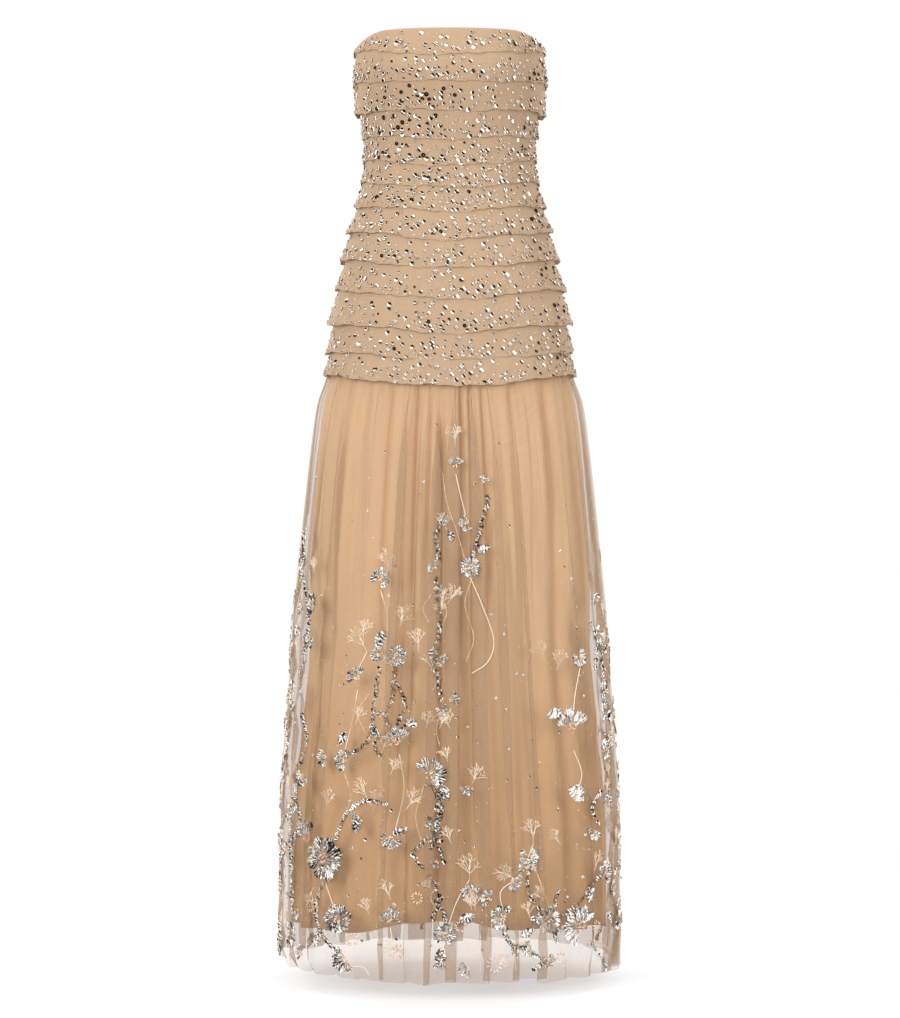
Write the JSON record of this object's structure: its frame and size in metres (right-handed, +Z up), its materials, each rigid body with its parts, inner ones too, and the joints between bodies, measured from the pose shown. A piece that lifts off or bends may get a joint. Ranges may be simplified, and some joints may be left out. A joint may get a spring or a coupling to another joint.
{
  "type": "bustier gown",
  "caption": "Strapless floor-length gown filled out as worn, with overlapping tulle tiers on the bodice and a sheer gathered tulle skirt over a shorter lining.",
  "frame": {"origin": "on the torso's axis at the bust line, where the wearer's body holds the gown up", "axes": "+Z up, -Y towards the gown's front, +X towards the right of someone who faces the front"},
  "size_m": [0.4757, 0.3887, 1.293],
  "materials": {
    "nude_base": "matte",
    "champagne_tulle": "matte",
    "nude_lining": "satin",
    "sheer_tulle": "sheer",
    "zip_tape": "matte",
    "zip_metal": "satin",
    "silver_sequin": "polished",
    "peach_bead": "gloss",
    "embroidery_thread": "satin"
  },
  "bodies": {
    "gown": {"bodice_front": "nude_base", "bodice_back_left": "nude_base", "bodice_back_right": "nude_base", "tier_01_front": "champagne_tulle", "tier_01_back_left": "champagne_tulle", "tier_01_back_right": "champagne_tulle", "tier_02_front": "champagne_tulle", "tier_02_back_left": "champagne_tulle", "tier_02_back_right": "champagne_tulle", "tier_03_front": "champagne_tulle", "tier_03_back_left": "champagne_tulle", "tier_03_back_right": "champagne_tulle", "tier_04_front": "champagne_tulle", "tier_04_back_left": "champagne_tulle", "tier_04_back_right": "champagne_tulle", "tier_05_front": "champagne_tulle", "tier_05_back_left": "champagne_tulle", "tier_05_back_right": "champagne_tulle", "tier_06_front": "champagne_tulle", "tier_06_back_left": "champagne_tulle", "tier_06_back_right": "champagne_tulle", "tier_07_front": "champagne_tulle", "tier_07_back_left": "champagne_tulle", "tier_07_back_right": "champagne_tulle", "tier_08_front": "champagne_tulle", "tier_08_back_left": "champagne_tulle", "tier_08_back_right": "champagne_tulle", "tier_09_front": "champagne_tulle", "tier_09_back_left": "champagne_tulle", "tier_09_back_right": "champagne_tulle", "tier_10_front": "champagne_tulle", "tier_10_back_left": "champagne_tulle", "tier_10_back_right": "champagne_tulle", "tier_11_front": "champagne_tulle", "tier_11_back": "champagne_tulle", "tier_12_front": "champagne_tulle", "tier_12_back": "champagne_tulle", "tier_13_front": "champagne_tulle", "tier_13_back": "champagne_tulle", "lining_front": "nude_lining", "lining_back": "nude_lining", "skirt_front": "sheer_tulle", "skirt_back": "sheer_tulle", "zip_tape": "zip_tape", "zip_slider": "zip_metal"},
    "pull_tab": {"zip_pull": "zip_metal"}
  },
  "joints": [
    {"name": "zip_pull_hinge", "type": "hinge", "parent": "gown", "child": "pull_tab", "pos_m": [0, 0.10163, 0.0222], "axis": [1, 0, 0], "range_deg": [0, 150]}
  ]
}
